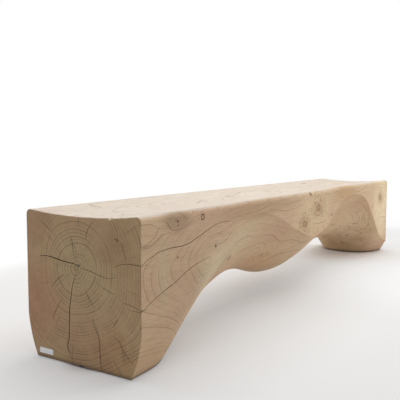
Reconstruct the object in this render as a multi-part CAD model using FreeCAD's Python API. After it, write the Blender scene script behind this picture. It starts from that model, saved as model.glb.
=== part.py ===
import FreeCAD, Part
import math
import os

# A long bench carved from one block of cedar. The seat is the dished top of the block. The underside is
# cut away in two arches on each long side, which leaves two feet, a pointed lobe at mid-length on each side
# and one keel along the middle. Under the feet sit four nail-on glides.
# Millimetres. The origin is on the floor under the middle of the bench. X runs along the bench, Y across
# it and Z up. The end with the small plate is at -X, and the side that is seen with it is at -Y.

# Block
BENCH_LENGTH = 2400.0
BENCH_WIDTH = 420.0
BENCH_HEIGHT = 430.0
SEAT_DISH_DEPTH = 11.5
SEAT_EDGE_RADIUS = 15.0
ARRIS_RADIUS = 2.5
CARVE_STATION_COUNT = 41

# The carved surface is drawn in cross-sections. Each table gives pairs: the place along the bench as a
# share of its length, counted from the end with the plate, and a value there.
# Height of the edge where the upright side ends and the carving starts, as a share of the bench height.
RIDGE_SHARES = (
    (0.00, 0.29), (0.06, 0.345), (0.12, 0.52), (0.20, 0.775), (0.28, 0.89), (0.34, 0.83), (0.42, 0.66),
    (0.50, 0.55), (0.56, 0.60), (0.65, 0.83), (0.74, 0.885), (0.82, 0.79), (0.88, 0.535), (0.94, 0.25),
    (1.00, 0.135),
)
# Height of the keel on the centre line, as a share of the bench height. Below zero it is inside a foot.
KEEL_SHARES = (
    (0.00, -0.24), (0.05, -0.23), (0.10, -0.045), (0.15, 0.135), (0.22, 0.265), (0.30, 0.33), (0.36, 0.30),
    (0.42, 0.21), (0.48, 0.175), (0.56, 0.22), (0.66, 0.32), (0.75, 0.33), (0.83, 0.305), (0.90, 0.20),
    (0.95, -0.185), (1.00, -0.25),
)
# Turn from the upright side into the carving, as a share of a right angle.
TURN_SHARES = (
    (0.00, 0.085), (0.06, 0.11), (0.12, 0.19), (0.20, 0.255), (0.28, 0.29), (0.37, 0.38), (0.50, 0.555),
    (0.63, 0.62), (0.88, 0.70), (1.00, 0.78),
)
# How far the carving holds that direction, as a share of the drop from ridge to keel.
HOLD_SHARES = (
    (0.00, 0.335), (0.06, 0.38), (0.12, 0.46), (0.25, 0.395), (0.50, 0.415), (0.75, 0.365), (0.88, 0.395),
    (0.94, 0.27), (1.00, 0.105),
)
# How flat the carving comes in to the keel, as a share of half the bench width.
FLAT_SHARES = (
    (0.00, 0.79), (0.06, 0.73), (0.12, 0.615), (0.25, 0.565), (0.37, 0.44), (0.50, 0.315), (0.63, 0.35),
    (0.88, 0.32), (0.94, 0.51), (1.00, 0.76),
)
# The carving surface runs on past the ridge, out of the block, and the waste reaches well below the floor.
CARVE_RUN_ON_SHARE = 0.15
CARVE_WASTE_SHARE = 0.5

# Drying checks. A path on a face is a list of points. On the ends a point is (share of half the width,
# share of the height), on the upright side (share of the length, share of the height), and on the seat
# (share of the length, share of half the width).
MAIN_CHECK_WIDTH = 2.6
MAIN_CHECK_DEPTH = 60.0
FINE_CHECK_WIDTH = 1.3
FINE_CHECK_DEPTH = 28.0
SIDE_CHECK_WIDTH = 2.0
SIDE_CHECK_DEPTH = 35.0
SEAT_CHECK_WIDTH = 1.4
SEAT_CHECK_DEPTH = 24.0
CHECK_FLOOR_WIDTH_SHARE = 0.5
CHECK_STEPS = 12
NEAR_MAIN_CHECK_SHARES = (
    ((0.76, 0.692), (0.50, 0.694), (0.30, 0.678), (0.12, 0.671), (0.02, 0.665)),
    ((0.05, 0.625), (0.10, 0.575), (0.14, 0.53), (0.17, 0.45), (0.195, 0.39), (0.205, 0.295), (0.215, 0.22),
     (0.225, 0.155), (0.245, 0.12), (0.20, 0.07), (0.165, 0.03)),
)
NEAR_FINE_CHECK_SHARES = (
    ((-0.01, 0.652), (-0.17, 0.638), (-0.31, 0.621), (-0.45, 0.609), (-0.525, 0.611), (-0.60, 0.628)),
    ((-0.08, 0.525), (-0.14, 0.467), (-0.22, 0.42), (-0.26, 0.393)),
    ((-0.195, 0.35), (-0.25, 0.295), (-0.31, 0.228), (-0.325, 0.167), (-0.33, 0.105), (-0.355, 0.02)),
    ((-0.37, 0.55), (-0.47, 0.532), (-0.60, 0.514)),
    ((-0.70, 0.47), (-0.83, 0.467), (-1.02, 0.44), (-1.12, 0.425)),
    ((0.27, 0.593), (0.36, 0.572), (0.44, 0.542), (0.54, 0.488)),
    ((0.06, 0.69), (0.11, 0.73), (0.14, 0.82), (0.19, 0.855)),
    ((-0.105, 0.83), (-0.14, 0.895), (-0.20, 0.935), (-0.25, 0.957)),
    ((-0.57, 0.681), (-0.70, 0.707), (-0.84, 0.716), (-1.02, 0.71), (-1.12, 0.70)),
    ((-0.685, 0.845), (-0.73, 0.788), (-0.77, 0.73)),
    ((0.73, 0.937), (0.61, 0.893), (0.50, 0.86)),
    ((-0.65, 0.372), (-0.595, 0.342), (-0.55, 0.307)),
    ((-0.62, 0.24), (-0.69, 0.193), (-0.77, 0.147), (-0.89, 0.098)),
    ((-0.53, 0.116), (-0.60, 0.07), (-0.665, 0.03)),
    ((0.34, 0.425), (0.45, 0.35), (0.52, 0.27)),
)
FAR_MAIN_CHECK_SHARES = (
    ((0.02, 0.66), (0.13, 0.70), (0.27, 0.735), (0.46, 0.79), (0.63, 0.825)),
    ((0.01, 0.64), (-0.07, 0.55), (-0.11, 0.44), (-0.16, 0.31), (-0.18, 0.19)),
)
FAR_FINE_CHECK_SHARES = (
    ((-0.06, 0.67), (-0.20, 0.70), (-0.36, 0.71), (-0.53, 0.735)),
    ((0.08, 0.61), (0.19, 0.55), (0.29, 0.47), (0.36, 0.36)),
    ((-0.25, 0.58), (-0.38, 0.53), (-0.52, 0.51), (-0.66, 0.47)),
    ((0.50, 0.63), (0.64, 0.60), (0.80, 0.59)),
    ((-0.30, 0.84), (-0.37, 0.90), (-0.41, 0.96)),
    ((0.33, 0.23), (0.41, 0.15), (0.46, 0.07)),
)
SIDE_CHECK_SHARES = (
    ((-0.012, 0.69), (0.001, 0.713), (0.012, 0.74), (0.026, 0.763), (0.036, 0.772), (0.051, 0.779),
     (0.069, 0.774), (0.088, 0.779), (0.103, 0.795), (0.119, 0.821), (0.133, 0.842), (0.151, 0.867),
     (0.164, 0.876), (0.180, 0.877), (0.202, 0.863)),
    ((-0.012, 0.41), (0.002, 0.44), (0.0175, 0.477), (0.032, 0.502), (0.0475, 0.53), (0.062, 0.549),
     (0.080, 0.584), (0.095, 0.612), (0.111, 0.63), (0.1275, 0.644), (0.145, 0.651)),
)
SEAT_CHECK_SHARES = (
    ((0.083, 0.70), (0.076, 0.58), (0.072, 0.47), (0.066, 0.375)),
    ((0.170, 0.93), (0.176, 0.84), (0.181, 0.77)),
)

# Small losses of wood at the end with the plate: a notch in the seat edge and a slot at the floor edge.
NOTCH_WIDTH = 11.0
NOTCH_HEIGHT = 5.5
NOTCH_DEPTH = 9.0
NOTCH_PLACE_SHARE = -0.52
SLOT_WIDTH = 17.0
SLOT_HEIGHT = 3.5
SLOT_DEPTH = 7.0
SLOT_PLACE_SHARE = -0.01

# Loose knot, near the seat edge on the side that is seen: a core of branch wood in a ring of its own bark.
KNOT_DIAMETER = 20.0
KNOT_DEPTH = 30.0
KNOT_BARK_THICKNESS = 3.2
KNOT_BARK_SUNK = 1.2
KNOT_FIT_GAP = 0.15
KNOT_EDGE_GAP = 1.0
KNOT_PLACE_SHARE = 0.122

# Blank plate let into the end, and the two pins that hold it.
PLATE_WIDTH = 54.0
PLATE_HEIGHT = 16.0
PLATE_THICKNESS = 1.0
PLATE_CORNER_RADIUS = 2.0
PLATE_FIT_GAP = 0.2
PLATE_SIDE_INSET = 46.0
PLATE_FOOT_GAP = 11.0
PIN_END_INSET = 4.5
PIN_HEAD_DIAMETER = 3.2
PIN_HEAD_THICKNESS = 0.5
PIN_SHANK_DIAMETER = 1.4
PIN_LENGTH = 10.0
PIN_FIT_GAP = 0.1

# Glides: nylon discs, each with a nail moulded in, driven into the foot.
GLIDE_DIAMETER = 30.0
GLIDE_THICKNESS = 3.0
GLIDE_EDGE_RADIUS = 0.6
GLIDE_END_INSET = 44.0
GLIDE_SIDE_INSET = 92.0
NAIL_HEAD_DIAMETER = 9.0
NAIL_HEAD_THICKNESS = 0.9
NAIL_HEAD_COVER = 1.2
NAIL_SHANK_DIAMETER = 2.4
NAIL_LENGTH = 19.0
NAIL_FIT_GAP = 0.1
NAIL_TIP_GAP = 1.0

# Cutters run this far past the faces that they cut through.
OVERRUN = 5.0

RIGHT_ANGLE = math.pi / 2
NEAR_X = -BENCH_LENGTH / 2
FAR_X = BENCH_LENGTH / 2
HALF_WIDTH = BENCH_WIDTH / 2
X_AXIS = FreeCAD.Vector(1, 0, 0)
Y_AXIS = FreeCAD.Vector(0, 1, 0)
Z_AXIS = FreeCAD.Vector(0, 0, 1)


def point(x, y, z):
    return FreeCAD.Vector(x, y, z)


def mirrored(p):
    return FreeCAD.Vector(p.x, -p.y, p.z)


def value_at(pairs, place):
    """Smooth curve through the pairs, read at a place."""
    slopes = [(b[1] - a[1]) / (b[0] - a[0]) for a, b in zip(pairs, pairs[1:])]
    tangents = [slopes[0]]
    for i in range(1, len(pairs) - 1):
        before = pairs[i][0] - pairs[i - 1][0]
        after = pairs[i + 1][0] - pairs[i][0]
        tangents.append((slopes[i - 1] * after + slopes[i] * before) / (before + after))
    tangents.append(slopes[-1])
    i = 0
    while i < len(slopes) - 1 and place > pairs[i + 1][0]:
        i += 1
    span = pairs[i + 1][0] - pairs[i][0]
    t = (place - pairs[i][0]) / span
    start_weight = 2 * t ** 3 - 3 * t ** 2 + 1
    leave_weight = (t ** 3 - 2 * t ** 2 + t) * span
    arrive_weight = (t ** 3 - t ** 2) * span
    value = start_weight * pairs[i][1] + (1 - start_weight) * pairs[i + 1][1]
    return value + leave_weight * tangents[i] + arrive_weight * tangents[i + 1]


def bezier(poles):
    curve = Part.BezierCurve()
    curve.setPoles(poles)
    return curve


def blank_block():
    """Squared block with its dished seat and rounded long edges, before the underside is carved."""
    reach = HALF_WIDTH - SEAT_EDGE_RADIUS
    both_radii = (reach ** 2 + SEAT_DISH_DEPTH ** 2) / (2 * SEAT_DISH_DEPTH)
    edge_centre = point(NEAR_X, -reach, BENCH_HEIGHT - SEAT_EDGE_RADIUS)
    to_seat_centre = point(0, reach, both_radii - SEAT_DISH_DEPTH)
    to_seat_centre.normalize()
    seat_end = edge_centre + to_seat_centre * SEAT_EDGE_RADIUS
    outward = to_seat_centre - Y_AXIS
    outward.normalize()
    edge_middle = edge_centre + outward * SEAT_EDGE_RADIUS
    side_top = edge_centre - Y_AXIS * SEAT_EDGE_RADIUS
    side_foot = point(NEAR_X, -HALF_WIDTH, GLIDE_THICKNESS)
    seat_middle = point(NEAR_X, 0, BENCH_HEIGHT - SEAT_DISH_DEPTH)
    edges = [
        Part.Arc(seat_end, seat_middle, mirrored(seat_end)).toShape(),
        Part.Arc(mirrored(seat_end), mirrored(edge_middle), mirrored(side_top)).toShape(),
        Part.makeLine(mirrored(side_top), mirrored(side_foot)),
        Part.makeLine(mirrored(side_foot), side_foot),
        Part.makeLine(side_foot, side_top),
        Part.Arc(side_top, edge_middle, seat_end).toShape(),
    ]
    return Part.Face(Part.Wire(edges)).extrude(X_AXIS * BENCH_LENGTH)


def carve_section(place):
    """Closed outline of the waste below the carved surface, at a place along the bench."""
    x = NEAR_X + place * BENCH_LENGTH
    ridge = BENCH_HEIGHT * value_at(RIDGE_SHARES, place)
    keel = BENCH_HEIGHT * value_at(KEEL_SHARES, place)
    turn = RIGHT_ANGLE * value_at(TURN_SHARES, place)
    hold = (ridge - keel) * value_at(HOLD_SHARES, place)
    flat = HALF_WIDTH * value_at(FLAT_SHARES, place)
    heading = point(0, math.sin(turn), -math.cos(turn))
    corner = point(x, -HALF_WIDTH, ridge)
    carving = bezier([corner, corner + heading * hold, point(x, -flat, keel), point(x, 0, keel)])
    carving.segment(-CARVE_RUN_ON_SHARE, 1)
    poles = carving.getPoles()
    other_poles = [mirrored(p) for p in poles[::-1]]
    outside = poles[0]
    below = point(x, outside.y, -CARVE_WASTE_SHARE * BENCH_HEIGHT)
    edges = [
        carving.toShape(),
        bezier(other_poles).toShape(),
        Part.makeLine(mirrored(outside), mirrored(below)),
        Part.makeLine(mirrored(below), below),
        Part.makeLine(below, outside),
    ]
    return Part.Wire(edges)


def carve_waste():
    """Everything that is carved away, running past both ends of the block."""
    past = OVERRUN / BENCH_LENGTH
    step = (1 + 2 * past) / (CARVE_STATION_COUNT - 1)
    sections = [carve_section(i * step - past) for i in range(CARVE_STATION_COUNT)]
    return Part.makeLoft(sections, True, False)


def end_edges(block):
    """Edges round the two end faces, without the ones on the floor side, which stay square."""
    slack = ARRIS_RADIUS / 100
    found = []
    for edge in block.Edges:
        box = edge.BoundBox
        at_end = box.XMax < NEAR_X + slack or box.XMin > FAR_X - slack
        at_floor = box.ZMax < GLIDE_THICKNESS + slack
        if at_end and not at_floor:
            found.append(edge)
    return found


def carved_block():
    block = blank_block().cut(carve_waste()).Solids[0]
    return block.makeFillet(ARRIS_RADIUS, end_edges(block))


def on_near_end(across, up, depth):
    return point(NEAR_X + depth, across * HALF_WIDTH, up * BENCH_HEIGHT)


def on_far_end(across, up, depth):
    return point(FAR_X - depth, across * HALF_WIDTH, up * BENCH_HEIGHT)


def on_side(along, up, depth):
    return point(NEAR_X + along * BENCH_LENGTH, depth - HALF_WIDTH, up * BENCH_HEIGHT)


def on_seat(along, across, depth):
    return point(NEAR_X + along * BENCH_LENGTH, across * HALF_WIDTH, BENCH_HEIGHT - depth)


def check_outline(path, width, depth, place_on):
    """Outline of a check at one depth: two curves that part at one tip and meet at the other."""
    line = Part.BSplineCurve()
    line.interpolate([place_on(a, b, depth) for a, b in path])
    inward = place_on(0, 0, 1) - place_on(0, 0, 0)
    left, right = [], []
    for i in range(CHECK_STEPS + 1):
        way = i / CHECK_STEPS
        at = line.FirstParameter + way * (line.LastParameter - line.FirstParameter)
        across = line.tangent(at)[0].cross(inward)
        across.normalize()
        half = width / 2 * math.sqrt(math.sin(math.pi * way)) if 0 < i < CHECK_STEPS else 0
        left.append(line.value(at) + across * half)
        right.append(line.value(at) - across * half)
    outline = []
    for side in (left, right[::-1]):
        curve = Part.BSplineCurve()
        curve.interpolate(side)
        outline.append(curve.toShape())
    return Part.Wire(outline)


def check_cutter(path, width, depth, place_on):
    mouth = check_outline(path, width, -OVERRUN, place_on)
    floor = check_outline(path, width * CHECK_FLOOR_WIDTH_SHARE, depth, place_on)
    return Part.makeLoft([mouth, floor], True, True)


def all_check_cutters():
    groups = (
        (NEAR_MAIN_CHECK_SHARES, MAIN_CHECK_WIDTH, MAIN_CHECK_DEPTH, on_near_end),
        (NEAR_FINE_CHECK_SHARES, FINE_CHECK_WIDTH, FINE_CHECK_DEPTH, on_near_end),
        (FAR_MAIN_CHECK_SHARES, MAIN_CHECK_WIDTH, MAIN_CHECK_DEPTH, on_far_end),
        (FAR_FINE_CHECK_SHARES, FINE_CHECK_WIDTH, FINE_CHECK_DEPTH, on_far_end),
        (SIDE_CHECK_SHARES, SIDE_CHECK_WIDTH, SIDE_CHECK_DEPTH, on_side),
        (SEAT_CHECK_SHARES, SEAT_CHECK_WIDTH, SEAT_CHECK_DEPTH, on_seat),
    )
    cutters = []
    for paths, width, depth, place_on in groups:
        for path in paths:
            cutters.append(check_cutter(path, width, depth, place_on))
    return cutters


def disc(radius, height, base, axis):
    return Part.makeCylinder(radius, height, base, axis)


def chip_cutters():
    """Notch in the seat edge and slot at the floor edge, both at the end with the plate."""
    x = NEAR_X - OVERRUN
    y = NOTCH_PLACE_SHARE * HALF_WIDTH
    left = y + NOTCH_WIDTH / 2
    right = y - NOTCH_WIDTH / 2
    high = BENCH_HEIGHT + OVERRUN
    seat = BENCH_HEIGHT - SEAT_DISH_DEPTH * (1 - NOTCH_PLACE_SHARE ** 2)
    low = point(x, y, seat - NOTCH_HEIGHT)
    corners = [point(x, right, high), point(x, left, high), point(x, left, seat), low, point(x, right, seat)]
    notch_face = Part.Face(Part.makePolygon(corners + corners[:1]))
    notch = notch_face.extrude(X_AXIS * (OVERRUN + NOTCH_DEPTH))
    slot = Part.makeBox(
        SLOT_DEPTH + OVERRUN,
        SLOT_WIDTH,
        SLOT_HEIGHT + OVERRUN,
        point(x, SLOT_PLACE_SHARE * HALF_WIDTH - SLOT_WIDTH / 2, GLIDE_THICKNESS - OVERRUN),
    )
    return [notch, slot]


def knot_mouth():
    """Centre of the loose knot on the side of the block."""
    z = BENCH_HEIGHT - SEAT_EDGE_RADIUS - KNOT_EDGE_GAP - KNOT_DIAMETER / 2
    return point(NEAR_X + KNOT_PLACE_SHARE * BENCH_LENGTH, -HALF_WIDTH, z)


def knot_core():
    radius = KNOT_DIAMETER / 2 - KNOT_BARK_THICKNESS - KNOT_FIT_GAP
    return disc(radius, KNOT_DEPTH, knot_mouth(), Y_AXIS)


def knot_bark():
    start = knot_mouth() + Y_AXIS * KNOT_BARK_SUNK
    length = KNOT_DEPTH - KNOT_BARK_SUNK
    outside = disc(KNOT_DIAMETER / 2 - KNOT_FIT_GAP, length, start, Y_AXIS)
    return outside.cut(disc(KNOT_DIAMETER / 2 - KNOT_BARK_THICKNESS, length, start, Y_AXIS))


def knot_socket():
    start = knot_mouth() - Y_AXIS * OVERRUN
    return disc(KNOT_DIAMETER / 2, KNOT_DEPTH + OVERRUN, start, Y_AXIS)


def plate_blank(margin, thickness, x):
    """Rounded rectangle of the plate, grown by a margin, starting at x."""
    y = HALF_WIDTH - PLATE_SIDE_INSET - PLATE_WIDTH - margin
    z = GLIDE_THICKNESS + PLATE_FOOT_GAP - margin
    blank = Part.makeBox(thickness, PLATE_WIDTH + 2 * margin, PLATE_HEIGHT + 2 * margin, point(x, y, z))
    upright = [e for e in blank.Edges if abs(e.tangentAt(e.FirstParameter).x) > 0.5]
    return blank.makeFillet(PLATE_CORNER_RADIUS + margin, upright)


def pin_places():
    z = GLIDE_THICKNESS + PLATE_FOOT_GAP + PLATE_HEIGHT / 2
    left = HALF_WIDTH - PLATE_SIDE_INSET - PIN_END_INSET
    right = HALF_WIDTH - PLATE_SIDE_INSET - PLATE_WIDTH + PIN_END_INSET
    return [point(NEAR_X, y, z) for y in (left, right)]


def pin(place, gap):
    """Flat-headed pin, grown all round by a gap to make the hole that it goes in."""
    head = disc(PIN_HEAD_DIAMETER / 2 + gap, PIN_HEAD_THICKNESS, place, X_AXIS)
    shank = disc(PIN_SHANK_DIAMETER / 2 + gap, PIN_LENGTH + gap, place, X_AXIS)
    return head.fuse(shank).removeSplitter()


def name_plate():
    plate = plate_blank(0, PLATE_THICKNESS, NEAR_X)
    for place in pin_places():
        plate = plate.cut(pin(place, PIN_FIT_GAP))
    return plate


def plate_pins():
    return Part.makeCompound([pin(place, 0) for place in pin_places()])


def plate_pocket():
    return plate_blank(PLATE_FIT_GAP, PLATE_THICKNESS + OVERRUN, NEAR_X - OVERRUN)


def glide_places():
    """Places of the four glides on the floor, by name."""
    x = BENCH_LENGTH / 2 - GLIDE_END_INSET
    y = HALF_WIDTH - GLIDE_SIDE_INSET
    return {
        "glide_near_left": point(-x, y, 0),
        "glide_near_right": point(-x, -y, 0),
        "glide_far_left": point(x, y, 0),
        "glide_far_right": point(x, -y, 0),
    }


def nail(place, gap):
    """Nail with a flat head, point up, grown round its shank and head by a gap for the holes."""
    base = place + Z_AXIS * NAIL_HEAD_COVER
    head = disc(NAIL_HEAD_DIAMETER / 2 + gap, NAIL_HEAD_THICKNESS, base, Z_AXIS)
    shank = disc(NAIL_SHANK_DIAMETER / 2 + gap, NAIL_LENGTH, base, Z_AXIS)
    return head.fuse(shank).removeSplitter()


def glide(place):
    body = disc(GLIDE_DIAMETER / 2, GLIDE_THICKNESS, place, Z_AXIS)
    lower_rim = [e for e in body.Edges if e.BoundBox.ZMax < GLIDE_THICKNESS / 2]
    body = body.makeFillet(GLIDE_EDGE_RADIUS, lower_rim)
    return body.cut(nail(place, NAIL_FIT_GAP))


def glide_nails():
    return Part.makeCompound([nail(place, 0) for place in glide_places().values()])


def nail_hole(place):
    start = place + Z_AXIS * (GLIDE_THICKNESS - OVERRUN)
    depth = NAIL_HEAD_COVER + NAIL_LENGTH - GLIDE_THICKNESS + NAIL_TIP_GAP
    return disc(NAIL_SHANK_DIAMETER / 2 + NAIL_FIT_GAP, depth + OVERRUN, start, Z_AXIS)


def bench_block():
    block = carved_block()
    for cutter in all_check_cutters() + chip_cutters():
        block = block.cut(cutter)
    block = block.cut(knot_socket())
    block = block.cut(plate_pocket())
    for place in pin_places():
        block = block.cut(pin(place, PIN_FIT_GAP))
    for place in glide_places().values():
        block = block.cut(nail_hole(place))
    return block.Solids[0]


def main():
    os.makedirs("parts", exist_ok=True)
    nodes = {
        "bench_block": bench_block(),
        "knot_core": knot_core(),
        "knot_bark": knot_bark(),
        "name_plate": name_plate(),
        "plate_pins": plate_pins(),
        "glide_nails": glide_nails(),
    }
    for name, place in glide_places().items():
        nodes[name] = glide(place)
    for name, shape in nodes.items():
        shape.exportStep("parts/" + name + ".step")
        print(name, len(shape.Solids), shape.isValid(), round(shape.Volume))


main()
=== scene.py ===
# %% [markdown]
# # A bench carved from one block of wood
# The real bench is a single piece of wood, so almost everything the eye enjoys is in its surface: growth
# rings on the sawn ends, long wavy grain on the sides, knots, drying checks and a seat made paler with a
# painted sheen.
# The shape comes ready made as a imported model, in metres, with the floor at z = 0. This lesson dresses it:
# wood first, then the small metal and nylon pieces, the floor, the light and the camera. The species isn't
# known. It may be cedar, going by its colour, knots and checks.

# %% Load the imported bench
import math

import bpy
from mathutils import Matrix, Vector


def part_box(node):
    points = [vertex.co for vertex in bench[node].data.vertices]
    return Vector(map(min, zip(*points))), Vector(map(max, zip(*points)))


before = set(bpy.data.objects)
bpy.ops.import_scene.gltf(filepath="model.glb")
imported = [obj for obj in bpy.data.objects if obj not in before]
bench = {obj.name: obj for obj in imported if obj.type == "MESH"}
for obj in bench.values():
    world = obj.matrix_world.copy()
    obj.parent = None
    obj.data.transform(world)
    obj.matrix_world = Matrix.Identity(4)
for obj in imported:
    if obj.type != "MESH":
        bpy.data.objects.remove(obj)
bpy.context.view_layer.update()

print("pieces of the bench:", sorted(bench))

# %% [markdown]
# ## Colours and nodes
# Paint and wood colours are easiest to note as the hex values a screen shows. Blender mixes light, so it
# needs them linear, and one function does that for every colour here. A material is a small graph of nodes.
# One more function adds a node, sets it and wires it, which keeps every later cell short: a setting named
# by a word is a property or a socket, and one named by a number is the socket with that number.


# %% Turn a hex colour into light
def light(code, strength=1.0):
    """Linear colour of an sRGB hex value, made lighter or darker by a factor."""
    shares = [int(code[i:i + 2], 16) / 255 for i in (1, 3, 5)]
    linear = [s / 12.92 if s <= 0.04045 else ((s + 0.055) / 1.055) ** 2.4 for s in shares]
    return tuple(s * strength for s in linear) + (1.0,)


print("wood of the side, linear:", [round(v, 3) for v in light("#cbab88")])


# %% Add a node with its settings and links
def add(tree, kind, settings=None, links=None, stops=None):
    """A new shader node. Stops are the (place, grey or colour) pairs of a colour ramp."""
    made = tree.nodes.new("ShaderNode" + kind)
    for name, value in (settings or {}).items():
        if isinstance(name, str) and hasattr(made, name):
            setattr(made, name, value)
        else:
            made.inputs[name].default_value = value
    for name, socket in (links or {}).items():
        tree.links.new(socket, made.inputs[name])
    if stops:
        ramp = made.color_ramp
        while len(ramp.elements) < len(stops):
            ramp.elements.new(0.5)
        for element, (place, shade) in zip(ramp.elements, stops):
            element.position = place
            element.color = shade if isinstance(shade, tuple) else (shade, shade, shade, 1.0)
    return made


# %% Start an empty material
def new_material(name):
    """A material with a bare node tree: its tree and its Principled shader, already wired to the output."""
    material = bpy.data.materials.new(name)
    material.use_nodes = True
    tree = material.node_tree
    tree.nodes.clear()
    shader = add(tree, "BsdfPrincipled")
    add(tree, "OutputMaterial", links={"Surface": shader.outputs["BSDF"]})
    return material, tree, shader


block, wood, block_shader = new_material("wood_sanded_untreated")
print("started", block.name)

# %% [markdown]
# ## Where a point of wood lies in the tree
# A bench carved from a trunk shows the same growth rings on every face, cut at different angles. So the wood
# is made as a solid: the pattern is worked out from the place of each point, not painted on a face. The heart
# of this trunk runs along the bench, near the middle of its width and 286 mm up. No trunk grows straight, so
# slow noise first bends the coordinates, more across the trunk than along it. Towards the near end the trunk
# also flares, as one does above its roots: there the rings slant out, and on the side they turn into loops.

# %% Bend the coordinates the way the trunk grew
HEART = (0.0, 0.004, 0.286)
FLARE_FROM, FLARE_TO, FLARE_LIFT = -1.26, -0.72, 0.060

place = add(wood, "TexCoord").outputs["Object"]
slow_place = add(wood, "VectorMath", {"operation": "MULTIPLY", 1: (1.0, 2.6, 2.6)}, {0: place})
slow = add(
    wood, "TexNoise", {"Scale": 1.35, "Detail": 1.5, "Roughness": 0.45}, {"Vector": slow_place.outputs[0]},
)
quick_place = add(wood, "VectorMath", {"operation": "MULTIPLY", 1: (3.2, 13.0, 13.0)}, {0: place})
quick = add(
    wood, "TexNoise", {"Scale": 1.0, "Detail": 2.0, "Roughness": 0.5}, {"Vector": quick_place.outputs[0]},
)
middle_place = add(wood, "VectorMath", {"operation": "MULTIPLY", 1: (3.4, 4.4, 4.4)}, {0: place})
middle = add(
    wood, "TexNoise", {"Scale": 1.0, "Detail": 1.0, "Roughness": 0.5}, {"Vector": middle_place.outputs[0]},
)
grown_place = place
for noise, reach in ((slow, 0.075), (middle, 0.045), (quick, 0.008)):
    bend = add(
        wood, "VectorMath",
        {"operation": "MULTIPLY_ADD", 1: (0.0, reach, reach), 2: (0.0, -reach / 2, -reach / 2)},
        {0: noise.outputs["Color"]},
    )
    grown_place = add(wood, "VectorMath", {"operation": "ADD"}, {0: grown_place, 1: bend.outputs[0]}).outputs[0]
from_heart = add(wood, "VectorMath", {"operation": "SUBTRACT", 1: HEART}, {0: grown_place})
across = add(wood, "VectorMath", {"operation": "MULTIPLY", 1: (0.0, 1.0, 1.0)}, {0: from_heart.outputs[0]})
distance = add(wood, "VectorMath", {"operation": "LENGTH"}, {0: across.outputs[0]}).outputs["Value"]
along = add(wood, "SeparateXYZ", links={0: place})
flare = add(
    wood, "MapRange",
    {"interpolation_type": "SMOOTHSTEP", 1: FLARE_FROM, 2: FLARE_TO, 3: FLARE_LIFT, 4: 0.0},
    {0: along.outputs["X"]},
)
print("heart of the trunk at y, z:", HEART[1:])


# %% Count a distance in reaches
def span_from(centre, reach, point):
    """Distance of a point of wood from a centre, where 1 is the reach given for each axis."""
    scale = tuple(1 / r for r in reach)
    offset = tuple(-c / r for c, r in zip(centre, reach))
    local = add(wood, "VectorMath", {"operation": "MULTIPLY_ADD", 1: scale, 2: offset}, {0: point})
    return add(wood, "VectorMath", {"operation": "LENGTH"}, {0: local.outputs[0]}).outputs["Value"]


print("distances can be counted in reaches")

# %% [markdown]
# ## Knots
# A knot is the foot of a branch. The trunk's rings swell round it, so on a sawn face they close into ovals.
# Each knot here is a place, how far its swelling reaches along, across and up, how much it lifts the rings,
# the share of that reach that is branch wood, and how dark that is. Adding the lift to the distance from the
# heart draws the ovals for free. A darkness of 0 keeps the ovals and leaves out the branch. Round a large knot
# the wood also curls in a whorl of darker lines, drawn with the distance to the nearest knot, counted in
# whorls. A little quick noise bends all these places, because no branch is round.

# %% Place the knots and swell the rings round them
KNOTS = {
    # name: (centre), (reach along, across, up), lift of the rings, share of the core, darkness
    "lobe_low": ((-0.112, -0.210, 0.299), (0.110, 0.150, 0.075), 0.055, 0.22, 0.48),
    "lobe_high": ((0.044, -0.210, 0.358), (0.125, 0.150, 0.085), 0.060, 0.23, 0.50),
    "seat_edge": ((-0.055, -0.205, 0.418), (0.050, 0.080, 0.034), 0.026, 0.24, 0.85),
    "near_cluster": ((-1.060, -0.205, 0.414), (0.110, 0.120, 0.050), 0.045, 0.12, 0.0),
    "near_mark": ((-1.036, -0.210, 0.402), (0.050, 0.300, 0.020), 0.0, 0.11, 0.95),
    "near_speck": ((-1.034, -0.210, 0.393), (0.030, 0.300, 0.020), 0.0, 0.10, 0.90),
    "far_side": ((1.052, -0.210, 0.334), (0.120, 0.120, 0.070), 0.045, 0.28, 0.50),
    "lobe_small": ((0.217, -0.210, 0.312), (0.050, 0.080, 0.040), 0.012, 0.16, 0.80),
    "ring_knot": ((-0.907, -0.210, 0.404), (0.045, 0.080, 0.040), 0.020, 0.10, 0.0),
    "pin_one": ((-0.832, -0.210, 0.308), (0.040, 0.300, 0.040), 0.0, 0.120, 0.98),
    "pin_two": ((-1.038, -0.210, 0.305), (0.036, 0.300, 0.036), 0.0, 0.085, 0.92),
    "end_knot": ((-1.200, -0.129, 0.366), (0.300, 0.030, 0.030), 0.010, 0.15, 0.85),
    "end_speck": ((-1.200, -0.121, 0.368), (0.300, 0.020, 0.020), 0.0, 0.14, 0.80),
    "heart_speck": ((-1.200, 0.004, 0.286), (0.300, 0.024, 0.018), 0.0, 0.18, 0.98),
    "seat_far": ((0.691, 0.120, 0.424), (0.120, 0.060, 0.100), 0.040, 0.20, 0.55),
    "seat_mid": ((-0.022, -0.060, 0.418), (0.100, 0.050, 0.100), 0.035, 0.15, 0.60),
    "belly": ((-0.330, -0.120, 0.190), (0.110, 0.060, 0.045), 0.022, 0.15, 0.50),
    "band_streak": ((-0.640, -0.150, 0.235), (0.060, 0.060, 0.030), 0.010, 0.16, 0.60),
    "back_one": ((-0.620, 0.210, 0.330), (0.095, 0.150, 0.080), 0.050, 0.22, 0.60),
    "back_two": ((0.330, 0.210, 0.395), (0.080, 0.120, 0.060), 0.040, 0.24, 0.65),
    "back_three": ((0.960, 0.210, 0.290), (0.070, 0.120, 0.065), 0.040, 0.20, 0.60),
}

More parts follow.
